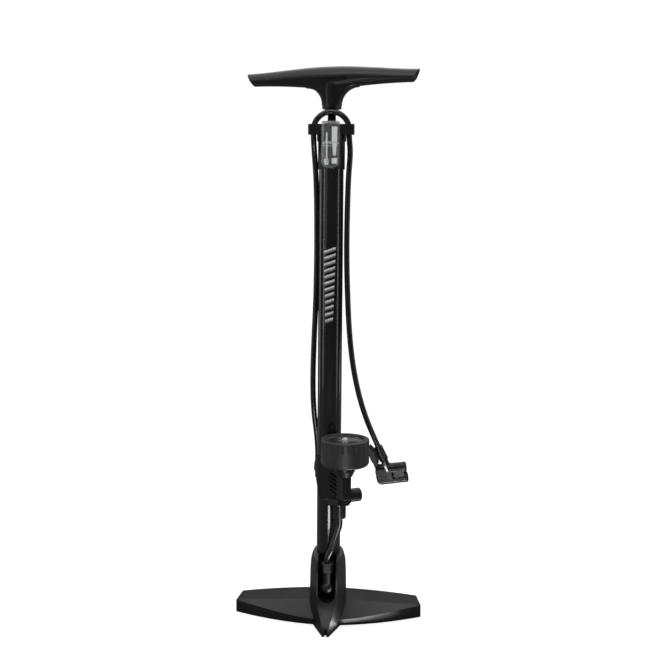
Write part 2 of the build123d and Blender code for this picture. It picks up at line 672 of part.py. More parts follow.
def grip_section(x, z_mid, up, down, depth):
    """A slice of the grip: a crowned top, and a flatter underside set in under its lip."""
    inset, low = depth - GRIP_LIP, z_mid - 1.0
    top = ThreePointArc((x, -depth, z_mid), (x, 0, z_mid + up), (x, depth, z_mid))
    under = ThreePointArc((x, inset, low), (x, 0, z_mid - down), (x, -inset, low))
    return make_face([top, Line((x, depth, z_mid), (x, inset, low)), under,
                      Line((x, -inset, low), (x, -depth, z_mid))])


# Along the grip: x, height of the widest line, rise above it, drop below it, half depth
GRIP_SLICES = (
    (0.0, 627.6, 14.0, 12.0, 14.0),
    (28.0, 627.6, 13.2, 8.6, 13.0),
    (62.0, 627.0, 11.2, 5.6, 11.8),
    (HANDLE_HALF, 626.4, 9.6, 4.4, 11.0),
)


def handle():
    """Moulded T handle: two grips that taper outwards and a neck for the rod."""
    grip = loft([grip_section(*row) for row in GRIP_SLICES])
    solid = grip + mirror(grip, about=Plane.YZ)
    solid += cyl(NECK_R, NECK_BOTTOM, 628.0)
    for side in (-1, 1):
        solid += flare(side)
    # the ends are cut on a slant, so that the top overhangs
    for side in (-1, 1):
        end = end_plane(side)
        solid -= end * (Pos(0, 0, 20) * Box(80, 80, 40))
        solid -= end * (Pos(0, 0, 1 - END_POCKET / 2) * Box(15.0, 7.2, END_POCKET + 2))
    solid -= cyl(ROD_R + SNUG, 590.0, 625.2)
    solid -= rod_x(1.5 + SNUG, -20, 20, z=PIN_Z)
    # rib down the front of the neck
    solid += block(-2.2, 2.2, -NECK_R - 0.9, -NECK_R + 1.5, 600.0, 620.0)
    return in_handle(solid)


def flare(side):
    """The fillet between the neck and one grip, as a wedge with a round hollow side."""
    x, z = NECK_R + FLARE_R - 0.6, 619.0 - FLARE_R
    wedge = block(0, x, -8.4, 8.4, z, 624.0) - rod_y(FLARE_R, -20, 20, x=x, z=z)
    wedge = fillet(wedge.edges().filter_by(GeomType.CIRCLE), 3.0)
    return wedge if side > 0 else mirror(wedge, about=Plane.YZ)


def end_plane(side):
    """The slanted end of a grip, with its normal pointing out."""
    slant = math.radians(END_SLANT)
    z = 628.4
    x = HANDLE_HALF - (636.0 - z) * math.tan(slant)
    return Plane(origin=(side * x, 0, z), x_dir=(0, 1, 0),
                 z_dir=(side * math.cos(slant), 0, -math.sin(slant)))


def handle_end_caps():
    """Plugs set a little way into the grips' ends."""
    depth = END_POCKET - 0.05 - 0.8
    plug = Pos(0, 0, -0.8 - depth / 2) * Box(14.9, 7.1, depth)
    return [in_handle(end_plane(side) * plug) for side in (-1, 1)]


def handle_pin():
    """Cross pin that holds the rod in the neck."""
    return in_handle(rod_x(1.5 - 0.02, -NECK_R + 0.6, NECK_R - 0.6, z=PIN_Z))


# ---------------------------------------------------------------- accessory case
def case_shape(grow):
    """Outline of the case, drawn in by grow when it is below 0."""
    x = CASE_HALF + grow
    solid = block(-x, x, CASE_FRONT - grow, CASE_BACK + grow, CASE_BOTTOM - grow, CASE_TOP + grow)
    low = solid.edges().filter_by(Axis.Y).group_by(Axis.Z)[0]
    return fillet(low, 7.0 + grow)


def accessory_case():
    solid = case_shape(0) - case_shape(-CASE_WALL)
    solid &= block(-30, 30, -40, 0, 500, CASE_SEAM)
    # hooks that hold on to the cap's rail
    for side in (-1, 1):
        x0, x1 = sorted((side * 5.3, side * 7.2))
        solid += block(x0, x1, CASE_BACK, -16.7, 533.0, 553.0)
        x0, x1 = sorted((side * 3.3, side * 7.2))
        solid += block(x0, x1, -17.1, -16.7 + 0.6, 533.0, 553.0)
    return solid - cyl(CAP_R + 0.3, 500, 600)


def case_lid():
    solid = case_shape(0) - case_shape(-CASE_WALL)
    solid &= block(-30, 30, -40, 0, CASE_SEAM + 0.1, 600)
    # a thin skirt that fits inside the lower part
    skirt = case_shape(-CASE_WALL - 0.15) - case_shape(-CASE_WALL - 0.75)
    skirt &= block(-30, 30, -40, 0, CASE_SEAM - 3.0, CASE_SEAM + 1.0)
    root = case_shape(-CASE_WALL + 0.1) - case_shape(-CASE_WALL - 0.75)
    root &= block(-30, 30, -40, 0, CASE_SEAM + 0.1, CASE_SEAM + 1.5)
    return solid + skirt + root


def cone_adapter():
    """Tapered plastic nozzle for air beds, stored point down."""
    solid = cyl(3.0, 558.0, 572.5, CONE_X, STORE_Y)
    solid += cone(1.6, 2.7, 541.5, 558.0, CONE_X, STORE_Y)
    return solid - cyl(1.1, 530, 580, CONE_X, STORE_Y)


def ball_needle():
    """Needle for balls, stored point up beside the cone."""
    solid = hexagon(5.0, 533.5, 537.5, NEEDLE_X, STORE_Y)
    solid += cyl(2.2, 531.1, 533.5, NEEDLE_X, STORE_Y)
    solid += cyl(1.0, 537.5, 566.0, NEEDLE_X, STORE_Y)
    solid += Pos(NEEDLE_X, STORE_Y, 566.0) * Sphere(1.0)
    return solid


def presta_adapter():
    """Small valve adapter, stored under the cone."""
    solid = cyl(2.9, 532.5, 538.5, CONE_X, STORE_Y)
    return solid - cyl(1.9, 530.0, 540.0, CONE_X, STORE_Y)


# ---------------------------------------------------------------- pump head
def head_body():
    """Housing for the two nozzles, with a boss for the hose and cheeks for the lever."""
    plate = block(-5.0, NOZZLE_START + 1.0, -6.4, 6.4, 0, HEAD_TALL)
    corners = plate.edges().filter_by(Axis.Y).sort_by(Axis.X)[:2]
    solid = fillet(corners, 7.5)
    solid = fillet(solid.edges().filter_by(GeomType.CIRCLE), 1.2)
    section = RectangleRounded(HEAD_TALL, 12.8, 5.8)
    solid &= Pos(-6.0, 0, HEAD_TALL / 2) * Rot(0, 90, 0) * extrude(section, 21.0)
    for z in NOZZLE_Z:
        solid += rod_x(NOZZLE_R - 0.05, 6.0, CAP_START - SNUG, z=z)
        solid += rod_x(STUB_R, 6.0, CAP_START + 4.2, z=z)
    solid += head_place().inverse() * collar_place() * cyl(4.3, -9.0, -0.02)
    for z in NOZZLE_Z:
        solid -= rod_x(PLUNGER_R + RUN, 4.5, CAP_START + 5.0, z=z)
    solid -= block(3.3, 7.4, -2.7, 2.7, NOZZLE_Z[0] - 2.4, NOZZLE_Z[1] + 2.4)
    # the lever's slot, open to the left, and the bore for its pin
    px, pz = LEVER_PIVOT
    solid -= block(-10, 3.4, -2.9, 2.9, -5, 15.0)
    solid -= block(-10, -0.3, -2.9, 2.9, 10.0, 30.0)
    solid -= rod_y(PIN_R + SNUG, -10, 10, x=px, z=pz)
    return in_head(solid)


def hose_collar():
    """Ribbed ferrule that crimps the hose on to the head."""
    long = COLLAR_LENGTH
    solid = cone(COLLAR_R, COLLAR_TIP_R, 0, long)
    solid = chamfer(solid.edges().filter_by(GeomType.CIRCLE), 0.9)
    for i in range(COLLAR_RIBS):
        groove = cyl(0.55, 2.6, long - 2.6, COLLAR_R + 0.05)
        solid -= Rot(0, 0, 360 / COLLAR_RIBS * i) * groove
    return collar_place() * (solid - cyl(2.2, -1, long + 1))


def nozzle_cap(z, mouth_r):
    """Ribbed cap that holds a grommet and guides the tyre's valve into it."""
    solid = rod_x(NOZZLE_R - 0.05, CAP_START, NOZZLE_END, z=z)
    solid = chamfer(solid.edges().filter_by(GeomType.CIRCLE).group_by(Axis.X)[-1], 0.7)
    for i in range(CAP_RIBS):
        x = CAP_START + 2.6 + 2.2 * i
        solid -= rod_x(9, x, x + 0.9, z=z) - rod_x(NOZZLE_R - 0.65, 0, 40, z=z)
    # flat cheeks where the two caps lie side by side
    middle = HEAD_TALL / 2
    z0, z1 = sorted((z, middle + math.copysign(0.05, z - middle)))
    solid += block(CAP_START, NOZZLE_END - 2.6, -5.5, 5.5, z0, z1)
    solid -= rod_x(STUB_R + SNUG, CAP_START - 1, GROMMET_START, z=z)
    solid -= rod_x(GROMMET_R + SNUG, GROMMET_START - 1, GROMMET_END + SNUG, z=z)
    return in_head(solid - rod_x(mouth_r, 10, 40, z=z))


def nozzle_grommet(z, hole_r):
    solid = rod_x(GROMMET_R, GROMMET_START, GROMMET_END, z=z)
    return in_head(solid - rod_x(hole_r, 10, 40, z=z))


def head_plungers():
    """Two hollow plungers on one yoke, which the lever's cam pushes at the grommets."""
    solid = block(3.9, 6.0, -2.4, 2.4, NOZZLE_Z[0] - 2.0, NOZZLE_Z[1] + 2.0)
    for z in NOZZLE_Z:
        solid += rod_x(PLUNGER_R, 5.0, PLUNGER_END, z=z)
        solid -= rod_x(1.6, 6.5, 40, z=z)
    return in_head(solid)


def lock_lever():
    """Thumb lever: an eye on the pin, and an arm that lies along the hose."""
    px, pz = LEVER_PIVOT
    solid = rod_y(LEVER_EYE_R, -2.6, 2.6, x=px, z=pz)
    arm = [(-4.2, 8.5), (-0.9, 12.5), (-0.9, 25.0), (0.2, 27.6)]
    tip = [(-2.1, 41.8), (-2.6, 43.4), (-6.6, 49.2), (-8.4, 47.2), (-9.1, 42.4), (-8.6, 34.8)]
    heel = [(-6.3, 27.0), (-4.7, 19.2), (-4.4, 13.7)]
    solid += extrude(face_of([(x, 0, z) for x, z in arm + tip + heel]), 2.6, dir=(0, 1, 0), both=True)
    pad = [(x, 0, z) for x, z in [(0.0, 28.8)] + tip + [(-6.9, 28.8)]]
    pad = extrude(face_of(pad), 5.4, dir=(0, 1, 0), both=True)
    solid += chamfer(pad.edges().group_by(Axis.Y)[0] + pad.edges().group_by(Axis.Y)[-1], 0.8)
    return in_head(solid - rod_y(PIN_R + RUN, -5, 5, x=px, z=pz))


def lever_pin():
    px, pz = LEVER_PIVOT
    return in_head(rod_y(PIN_R, -6.3, 6.3, x=px, z=pz))


# ---------------------------------------------------------------- writing the pieces
def pieces():
    """Every piece by its node's name."""
    low, high = NOZZLE_Z
    return {
        "base": base(),
        "base_screws": base_screws(),
        "foot_valve_block": foot_valve_block(),
        "foot_valve_seals": foot_valve_seals(),
        "check_valve_ball": check_valve_ball(),
        "check_valve_spring": check_valve_spring(),
        "base_hose_nut": base_hose_nut(),
        "barrel_tube": barrel_tube(),
        "base_hose": base_hose()[0],
        "bracket_hose_nut": bracket_hose_nut(),
        "gauge_bracket": gauge_bracket(),
        "clamp_screw": clamp_screw(),
        "clamp_nut": clamp_nut(),
        "stub_plug": stub_plug(),
        "gauge_cup": gauge_cup(),
        "gauge_bezel": gauge_bezel(),
        "gauge_lens": gauge_lens(),
        "gauge_dial": gauge_dial(),
        "gauge_socket": gauge_socket(),
        "gauge_bourdon_tube": gauge_bourdon_tube(),
        "gauge_movement": gauge_movement(),
        "gauge_pointer": gauge_pointer(),
        "hose_port": hose_port(),
        "main_hose": main_hose()[0],
        "barrel_cap": barrel_cap(),
        "rod_bush": rod_bush(),
        "piston_core": piston_core(),
        "piston_cup_seal": piston_cup_seal(),
        "piston_nut": piston_nut(),
        "piston_rod": piston_rod(),
        "handle": handle(),
        "handle_end_caps": handle_end_caps(),
        "handle_pin": handle_pin(),
        "accessory_case": accessory_case(),
        "case_lid": case_lid(),
        "cone_adapter": cone_adapter(),
        "ball_needle": ball_needle(),
        "presta_adapter": presta_adapter(),
        "hose_collar": hose_collar(),
        "head_body": head_body(),
        "schrader_nozzle_cap": nozzle_cap(low, SCHRADER_R),
        "presta_nozzle_cap": nozzle_cap(high, PRESTA_R),
        "schrader_grommet": nozzle_grommet(low, SCHRADER_R - 0.5),
        "presta_grommet": nozzle_grommet(high, PRESTA_R - 0.5),
        "head_plungers": head_plungers(),
        "lock_lever": lock_lever(),
        "lever_pin": lever_pin(),
    }


def report_hose(name, hose):
    """Prints a hose's length, its radii and how its volume compares with its section."""
    solid, route, length = hose
    radii = ", ".join(f"{r:.0f}" for r in arc_radii(route))
    expected = math.pi * HOSE_R ** 2 * length
    print(f"{name}: {length:.1f} mm, volume {solid.volume / expected:.4f}, radii {radii}")


def main():
    os.makedirs(OUT, exist_ok=True)
    report_hose("main_hose", main_hose())
    report_hose("base_hose", base_hose())
    for name, shape in pieces().items():
        if isinstance(shape, list):
            shape = Compound(children=shape)
        export_step(shape, f"{OUT}/{name}.step")


main()
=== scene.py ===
import bpy
import bmesh
import json
import math
from mathutils import Matrix, Vector


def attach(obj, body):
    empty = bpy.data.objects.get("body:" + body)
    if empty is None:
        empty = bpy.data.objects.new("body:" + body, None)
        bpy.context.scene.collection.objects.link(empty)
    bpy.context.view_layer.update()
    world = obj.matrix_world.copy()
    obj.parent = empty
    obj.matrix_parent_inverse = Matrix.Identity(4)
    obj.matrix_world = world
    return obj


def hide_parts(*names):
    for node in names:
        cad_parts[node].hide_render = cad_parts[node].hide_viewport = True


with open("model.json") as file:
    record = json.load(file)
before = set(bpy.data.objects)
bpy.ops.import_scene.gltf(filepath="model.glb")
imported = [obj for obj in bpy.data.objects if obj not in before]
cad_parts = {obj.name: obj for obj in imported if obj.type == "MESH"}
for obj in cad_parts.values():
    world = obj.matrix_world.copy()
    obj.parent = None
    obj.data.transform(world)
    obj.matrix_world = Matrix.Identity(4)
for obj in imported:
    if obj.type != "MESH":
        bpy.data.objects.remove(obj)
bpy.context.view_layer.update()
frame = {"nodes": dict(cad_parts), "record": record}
NODES = frame["nodes"]

MM = 0.001
# Sizes of the part that the pieces made here have to meet, in millimetres
BARREL_R = 14.0
HOSE_R = 3.2
HEAD_YAW = math.radians(3.0)       # the head, and the camera, are square to this direction
HEAD_TWIST = math.radians(13.0)    # and the head is turned by this about its hose
COLLAR_LENGTH = 18.5
GAUGE_YAW = math.radians(26.0)
GAUGE_OUT = 45.2                   # barrel axis to gauge axis
DIAL_TOP = 214.6                   # printed face of the dial


def front_view(x, out, z):
    """A point in metres from millimetres right, towards the front and up, square to the head."""
    c, s = math.cos(HEAD_YAW), math.sin(HEAD_YAW)
    return Vector((x * c + out * s, x * s - out * c, z)) * MM


# ---------------------------------------------------------------- camera
CAMERA_PITCH, CAMERA_ROLL = math.radians(6.5), math.radians(0.42)
CAMERA_DISTANCE = 1008.0           # from the point on the barrel's axis that it looks at
CAMERA_AIM = 350.0                 # that point's height
CAMERA_ASIDE = 5.97                # and the camera's shift to the left
CAMERA_SENSOR, CAMERA_LENS = 36.0, 48.1846


def make_camera():
    """Camera in front of the pump and a little above it, as in the reference view."""
    pitch, roll = CAMERA_PITCH, CAMERA_ROLL
    eye = front_view(-CAMERA_ASIDE, CAMERA_DISTANCE * math.cos(pitch),
                     CAMERA_AIM + CAMERA_DISTANCE * math.sin(pitch))
    level_right = Vector((1, 0, 0))
    level_up = Vector((0, math.sin(pitch), math.cos(pitch)))
    right = level_right * math.cos(roll) + level_up * math.sin(roll)
    up = level_up * math.cos(roll) - level_right * math.sin(roll)
    turn = Matrix.Rotation(HEAD_YAW, 3, "Z")
    axes = Matrix([turn @ axis for axis in (right, up, right.cross(up))]).transposed().to_4x4()
    data = bpy.data.cameras.new("camera")
    data.sensor_width = CAMERA_SENSOR
    data.lens = CAMERA_LENS
    data.clip_start, data.clip_end = 0.02, 60.0
    camera = bpy.data.objects.new("camera", data)
    camera.matrix_world = Matrix.Translation(eye) @ axes
    bpy.context.scene.collection.objects.link(camera)
    bpy.context.scene.camera = camera


# ---------------------------------------------------------------- materials
class Shader:
    """A procedural material. Its patterns are in the object's own space, in metres."""

    def __init__(self, name, **sockets):
        self.mat = bpy.data.materials.new(name)
        self.mat.use_nodes = True
        self.tree = self.mat.node_tree
        self.bsdf = self.tree.nodes["Principled BSDF"]
        for socket, value in sockets.items():
            self.bsdf.inputs[socket.replace("_", " ")].default_value = value
        self.place = self.add("ShaderNodeTexCoord").outputs["Object"]

    def add(self, kind, inputs=(), **settings):
        """A node with its settings, and with each input linked or set."""
        node = self.tree.nodes.new(kind)
        for key, value in settings.items():
            setattr(node, key, value)
        for key, value in dict(inputs).items():
            if isinstance(value, bpy.types.NodeSocket):
                self.tree.links.new(value, node.inputs[key])
            else:
                node.inputs[key].default_value = value
        return node

    def noise(self, scale, detail=3.0, stretch=(1, 1, 1)):
        """Cloudy noise, about 0.3 to 0.7, with scale cells to the metre."""
        spot = self.add("ShaderNodeMapping", {"Vector": self.place, "Scale": stretch})
        node = self.add("ShaderNodeTexNoise", {
            "Vector": spot.outputs[0], "Scale": scale, "Detail": detail, "Roughness": 0.55})
        return node.outputs["Fac"]

    def span(self, value, low, high, start=0.3, end=0.7):
        """value, from start to end, spread over low to high."""
        node = self.add("ShaderNodeMapRange", {
            "Value": value, "From Min": start, "From Max": end, "To Min": low, "To Max": high})
        return node.outputs[0]

    def tones(self, value, low, high):
        """A colour between low and high, as a noise's value goes up."""
        node = self.add("ShaderNodeValToRGB", {"Fac": value})
        for stop, place, colour in zip(node.color_ramp.elements, (0.3, 0.7), (low, high)):
            stop.position = place
            stop.color = (*colour, 1.0)
        return node.outputs["Color"]

    def mix(self, factor, under, over):
        """The colour under, going over to a fixed colour as factor goes from 0 to 1."""
        inputs = {0: factor, 6: under, 7: (*over, 1.0)}
        return self.add("ShaderNodeMix", inputs, data_type="RGBA").outputs[2]

    def math(self, operation, a, b):
        return self.add("ShaderNodeMath", {0: a, 1: b}, operation=operation).outputs[0]

    def edges(self, radius):
        """1 along sharp edges, 0 on flats."""
        soft = self.add("ShaderNodeBevel", {"Radius": radius}, samples=4).outputs[0]
        true = self.add("ShaderNodeNewGeometry").outputs["Normal"]
        along = self.add("ShaderNodeVectorMath", {0: soft, 1: true}, operation="DOT_PRODUCT")
        return self.span(along.outputs["Value"], 1.0, 0.0, 0.80, 0.985)

    def bump(self, height, strength, depth, soften=0.0, onto=None):
        """Relief, on edges softened to a radius or on top of another relief."""
        inputs = {"Height": height, "Strength": strength, "Distance": depth}
        if soften:
            inputs["Normal"] = self.add("ShaderNodeBevel", {"Radius": soften}, samples=4).outputs[0]
        if onto is not None:
            inputs["Normal"] = onto
        return self.add("ShaderNodeBump", inputs).outputs[0]

    def set(self, **links):
        """Links patterns to the surface's sockets and returns the material."""
        for socket, value in links.items():
            self.tree.links.new(value, self.bsdf.inputs[socket.replace("_", " ")])
        return self.mat


def grey(value):
    return (value,) * 3


def moulded(name, dark, light, rough, grain=1500.0, depth=0.00005, scuff=1.9):
    """Satin moulded plastic: cloudy sheen, fine grain and slightly rubbed edges."""
    s = Shader(name, Specular_IOR_Level=0.45)
    colour = s.tones(s.noise(28.0, 4.0), grey(dark), grey(light))
    rubbed = s.math("MULTIPLY", s.edges(0.0007), s.span(s.noise(240.0, 5.0), 0.0, 1.0, 0.42, 0.62))
    colour = s.mix(rubbed, colour, grey(light * scuff))
    roughness = s.span(s.noise(90.0, 5.0, (1, 1, 0.35)), rough - 0.06, rough + 0.07)
    fine = s.bump(s.noise(grain, 2.0), 0.35, depth, 0.0005)
    wavy = s.bump(s.noise(70.0, 2.0), 0.12, 0.0004, onto=fine)
    return s.set(Base_Color=colour, Roughness=roughness, Normal=wavy)


def enamel(name):
    """Black stove enamel on steel: clear gloss, orange peel, a few fine rub marks."""
    s = Shader(name, Coat_Weight=0.6, Coat_Roughness=0.06, Specular_IOR_Level=0.5)
    colour = s.tones(s.noise(22.0, 3.0, (1, 1, 0.3)), grey(0.0075), grey(0.0125))
    roughness = s.span(s.noise(900.0, 4.0, (1, 1, 0.04)), 0.16, 0.30, 0.35, 0.75)
    peel = s.bump(s.noise(420.0, 2.0), 0.10, 0.00012)
    return s.set(Base_Color=colour, Roughness=roughness, Normal=peel)


def rubber(name, dark, light, rough, coat=0.0):
    """Black rubber with a faint grain, glossier where it has a coat."""
    s = Shader(name, Specular_IOR_Level=0.45, Coat_Weight=coat, Coat_Roughness=0.12)
    colour = s.tones(s.noise(60.0, 4.0), grey(dark), grey(light))
    roughness = s.span(s.noise(160.0, 4.0, (1, 1, 0.3)), rough - 0.06, rough + 0.1)
    fine = s.bump(s.noise(1300.0, 2.0), 0.2, 0.00003)
    return s.set(Base_Color=colour, Roughness=roughness, Normal=fine)


def metal(name, dark, light, rough, stretch=(1, 1, 1), soften=0.0002):
    """Bare or blackened metal. A small last stretch draws its marks out along Z."""
    s = Shader(name, Metallic=1.0)
    colour = s.tones(s.noise(70.0, 4.0), dark, light)
    lines = s.noise(900.0, 4.0, stretch)
    roughness = s.span(lines, rough - 0.07, rough + 0.1)
    fine = s.bump(lines, 0.15, 0.00003, soften)
    return s.set(Base_Color=colour, Roughness=roughness, Normal=fine)


def clear(name, tint, rough, painted_edge_glint=0.0):
    """Clear moulded plastic with faint flow lines and handling haze. A painted glint can turn its
    edges partly opaque white, painted in place of the bright reflections along the edges of clear
    plastic.
    """
    s = Shader(name, Transmission_Weight=1.0, IOR=1.47)
    colour = s.tones(s.noise(40.0, 3.0), tuple(c * 0.97 for c in tint), tint)
    haze = s.span(s.noise(260.0, 5.0), rough, rough + 0.07, 0.45, 0.8)
    flow = s.bump(s.noise(110.0, 2.0, (1, 1, 0.4)), 0.25, 0.0002)
    if painted_edge_glint:
        # Painted glint: along the edges, with a little noise, the plastic stops letting light
        # through and shows white, standing in for the reflections that light up the edges of clear
        # plastic.
        edge = s.math("MULTIPLY", s.edges(0.0011), s.span(s.noise(300.0, 3.0), 0.6, 1.0))
        s.set(Transmission_Weight=s.span(edge, 1.0, 1.0 - painted_edge_glint, 0.0, 1.0))
    return s.set(Base_Color=colour, Roughness=haze, Normal=flow)


def painted(name, dark, light, rough):
    """A thin coat of print or enamel in one hue."""
    s = Shader(name, Specular_IOR_Level=0.4)
    colour = s.tones(s.noise(400.0, 4.0), dark, light)
    roughness = s.span(s.noise(700.0, 3.0), rough - 0.05, rough + 0.08)
    fine = s.bump(s.noise(2500.0), 0.2, 0.00002)
    return s.set(Base_Color=colour, Roughness=roughness, Normal=fine)


# The finish of each slot in the record
MATERIALS = {
    "barrel_paint": enamel("black_enamel"),
    "base_plastic": moulded("base_nylon", 0.0095, 0.0145, 0.38, grain=1100.0, depth=0.00006),
    "black_plastic": moulded("black_moulding", 0.009, 0.0135, 0.33),
    "handle_plastic": moulded("handle_moulding", 0.010, 0.015, 0.33),
    "cap_insert": moulded("grey_moulding", 0.085, 0.12, 0.5, scuff=1.3),
    "nut_metal": metal("blackened_steel", grey(0.05), grey(0.085), 0.36, soften=0.0004),
    "hose_rubber": rubber("hose_rubber", 0.007, 0.011, 0.26, coat=0.6),
    "seal_rubber": rubber("seal_rubber", 0.012, 0.02, 0.62),
    "rod_black": metal("black_oxide", grey(0.016), grey(0.026), 0.26, (1, 1, 0.05)),
    "rod_chrome": metal("chrome", grey(0.74), grey(0.82), 0.12, (1, 1, 0.05)),
    "bright_steel": metal("zinc_steel", (0.42, 0.43, 0.45), (0.62, 0.63, 0.65), 0.34),
    "brass_fitting": metal("brass", (0.60, 0.42, 0.17), (0.76, 0.56, 0.26), 0.3),
    "alloy_collar": moulded("collar_moulding", 0.011, 0.016, 0.32),
    # The case's last value, 0.7, is the strength of its painted edge glint: white edges painted in
    # place of reflections.
    "clear_plastic": clear("clear_case", (0.97, 0.975, 0.98), 0.03, 0.7),
    "lens_plastic": clear("clear_lens", (0.98, 0.985, 0.99), 0.02),
    "dial_face": painted("dial_white", (0.78, 0.78, 0.75), (0.84, 0.84, 0.81), 0.45),
    "pointer_red": painted("pointer_red", (0.45, 0.02, 0.015), (0.6, 0.035, 0.02), 0.35),
    "white_plastic": moulded("white_moulding", 0.72, 0.80, 0.42, scuff=1.0),
    "piston_plastic": moulded("natural_moulding", 0.42, 0.5, 0.45, scuff=1.05),
}
CLEAR_SLOTS = ("clear_plastic", "lens_plastic")
# The gauge's housing is a lighter grey than the rest of its slot: partly its own greyer moulding,
# partly painted light that stands in for the soft highlights that make the gauge look brighter
GAUGE_GREY_AND_PAINTED_LIGHT = moulded("gauge_grey_and_painted_light", 0.042, 0.058, 0.42)
OWN_FINISH = {"gauge_cup": GAUGE_GREY_AND_PAINTED_LIGHT, "gauge_bezel": GAUGE_GREY_AND_PAINTED_LIGHT}


def dress_nodes():
    """Gives each CAD node its finish, and lets light through the clear ones."""
    for row in frame["record"]["subparts"]:
        name, slot = row["node"], row["material_slot"]
        node = NODES[name]
        node.data.materials.clear()
        node.data.materials.append(OWN_FINISH.get(name, MATERIALS[slot]))
        node.visible_shadow = slot not in CLEAR_SLOTS


# ---------------------------------------------------------------- main hose
# Control points of the hose: up the left side and down the right side in front_view's
# frame, and over the cap in the part's own
HOSE_UP = [
    (-13.4, -15.7, 184.0),
    (-13.4, -15.7, 198.0),
    (-15.0, -12.6, 219.0),
    (-18.5, -8.8, 246.0),
    (-19.9, -6.8, 281.0),
    (-18.9, -7.2, 327.0),
    (-16.7, -8.9, 378.0),
    (-15.9, -9.9, 436.0),
    (-16.4, -9.4, 490.0),
    (-17.6, -7.0, 524.0),
    (-19.5, 0.4, 547.0),
]
ARCH = [
    (-20.0, -9.0, 562.5),
    (-20.0, -9.0, 579.1),
    (-8.28, -9.0, 590.8),
    (8.28, -9.0, 590.8),
    (20.0, -9.0, 579.1),
    (20.0, -9.0, 562.5),
]
HOSE_DOWN = [
    (21.4, 6.6, 546.0),
    (19.4, 5.0, 522.0),
    (18.4, 4.2, 482.0),
    (18.1, 4.0, 432.0),
    (19.6, 4.4, 386.0),
    (22.1, 5.4, 341.0),
    (26.6, 6.8, 303.0),
    (33.6, 7.8, 270.0),
    (42.1, 8.0, 243.0),
    (50.6, 8.0, 222.9),
    (56.8, 8.0, 209.2),
]


def make_main_hose():
    """The long hose, from the bracket's port over the cap to the head's collar."""
    points = [front_view(*p) for p in HOSE_UP]
    points += [Vector(p) * MM for p in ARCH]
    points += [front_view(*p) for p in HOSE_DOWN]
    data = bpy.data.curves.new("hose_line", "CURVE")
    data.dimensions = "3D"
    spline = data.splines.new("NURBS")
    spline.points.add(len(points) - 1)
    for place, point in zip(spline.points, points):
        place.co = (*point, 1.0)
    spline.order_u = 3
    spline.use_endpoint_u = True
    spline.resolution_u = 10
    data.bevel_depth = HOSE_R * MM
    data.bevel_resolution = 7
    data.use_fill_caps = True
    hose = bpy.data.objects.new("hose", data)
    bpy.context.scene.collection.objects.link(hose)
    data.materials.append(MATERIALS["hose_rubber"])
    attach(hose, "root")
    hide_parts("main_hose")


# ---------------------------------------------------------------- small details
def add_piece(name, sheet, slot, body="root", smooth=False):
    """A new mesh piece from a bmesh in metres, in the finish of a slot, riding on a body."""
    mesh = bpy.data.meshes.new(name)
    bmesh.ops.recalc_face_normals(sheet, faces=sheet.faces)
    sheet.to_mesh(mesh)
    sheet.free()
    if smooth:
        mesh.shade_smooth()
    piece = bpy.data.objects.new(name, mesh)
    bpy.context.scene.collection.objects.link(piece)
    mesh.materials.append(MATERIALS[slot])
    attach(piece, body)


def join_rings(sheet, rings):
    """The walls between rows of corners that match."""
    for near, far in zip(rings, rings[1:]):
        for i in range(len(near)):
            k = (i + 1) % len(near)
            sheet.faces.new((near[i], near[k], far[k], far[i]))


def add_bar(sheet, rings):
    """A closed bar through rings of corners."""
    join_rings(sheet, rings)
    sheet.faces.new(rings[0])
    sheet.faces.new(list(reversed(rings[-1])))


# A plain graphic of slanted bars that follow the barrel and get shorter downwards
BARS, BAR_TOP, BAR_PITCH = 12, 436.0, 7.2
BAR_HALF_WIDTH, BAR_NARROWING, BAR_HALF_HEIGHT = 7.4, 0.25, 2.1
BAR_SLANT, BAR_STEPS = 0.35, 10
BAR_UNDER, BAR_OVER = BARREL_R - 0.1, BARREL_R + 0.05
GRAPHIC_TURN = math.radians(-3.0)


def on_barrel(across, z, r):
    """A point on a cylinder round the barrel: across it from the graphic's middle, and up."""
    turn = GRAPHIC_TURN + across / BARREL_R
    return Vector((r * math.sin(turn), -r * math.cos(turn), z)) * MM


def make_barrel_graphic():
    """White screen print on the front of the barrel."""
    sheet = bmesh.new()
    for row in range(BARS):
        half = BAR_HALF_WIDTH - BAR_NARROWING * row
        rings = []
        for i in range(BAR_STEPS + 1):
            across = half * (2 * i / BAR_STEPS - 1)
            middle = BAR_TOP - BAR_PITCH * row + BAR_SLANT * across
            low, high = middle - BAR_HALF_HEIGHT, middle + BAR_HALF_HEIGHT
            corners = ((low, BAR_UNDER), (high, BAR_UNDER), (high, BAR_OVER), (low, BAR_OVER))
            rings.append([sheet.verts.new(on_barrel(across, z, r)) for z, r in corners])
        add_bar(sheet, rings)
    add_piece("barrel_graphic", sheet, "white_plastic", smooth=True)


# The dial's scale: where its zero is, its sweep, its last number and the ticks per number
DIAL_ZERO, DIAL_SWEEP = math.radians(45.0), math.radians(270.0)
DIAL_FULL, DIAL_PARTS = 11, 5
TICK_OUT = 19.2                    # outer ends of the ticks
LONG_TICK, SHORT_TICK = (15.4, 0.013), (17.2, 0.006)   # inner end, half width in radians
NUMBER_RING, NUMBER_SIZE = 12.9, 3.4


def on_dial(turn, r, z):
    """A point over the dial, by its angle clockwise from the scale's zero."""
    a = DIAL_ZERO - turn + GAUGE_YAW
    x, y = GAUGE_OUT * math.sin(GAUGE_YAW), -GAUGE_OUT * math.cos(GAUGE_YAW)
    return Vector((x + r * math.cos(a), y + r * math.sin(a), z)) * MM


